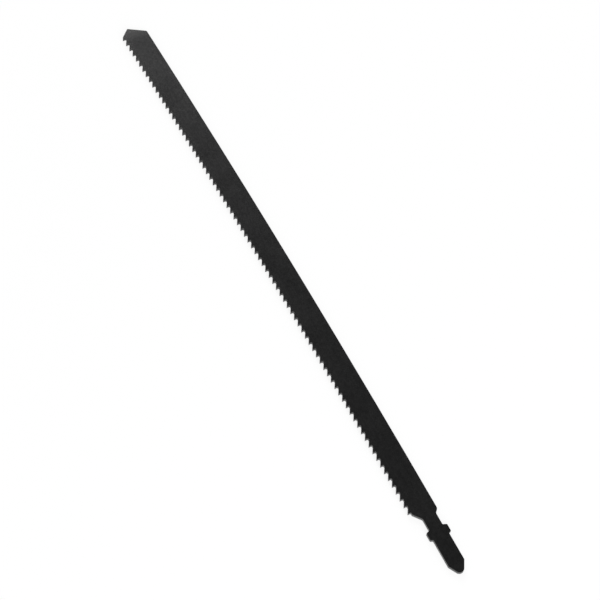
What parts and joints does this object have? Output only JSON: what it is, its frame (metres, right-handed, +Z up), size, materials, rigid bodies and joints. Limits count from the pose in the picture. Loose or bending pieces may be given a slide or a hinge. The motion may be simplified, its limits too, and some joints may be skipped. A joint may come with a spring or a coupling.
{
  "type": "T-shank jigsaw blade",
  "caption": "Long flat T-shank jigsaw blade of black steel: a cambered toothed strip with a clipped point, a necked shank and clamp lugs.",
  "frame": {"origin": "middle of the blade's outline box, on the underside that it lies on", "axes": "+X along the blade from the point to the shank, +Y across it from the teeth to the back, +Z up out of the face"},
  "size_m": [0.249, 0.011, 0.0014],
  "materials": {
    "blackened_steel": "black oxide, matt satin"
  },
  "bodies": {
    "root": {"blade": "blackened_steel"}
  },
  "joints": []
}
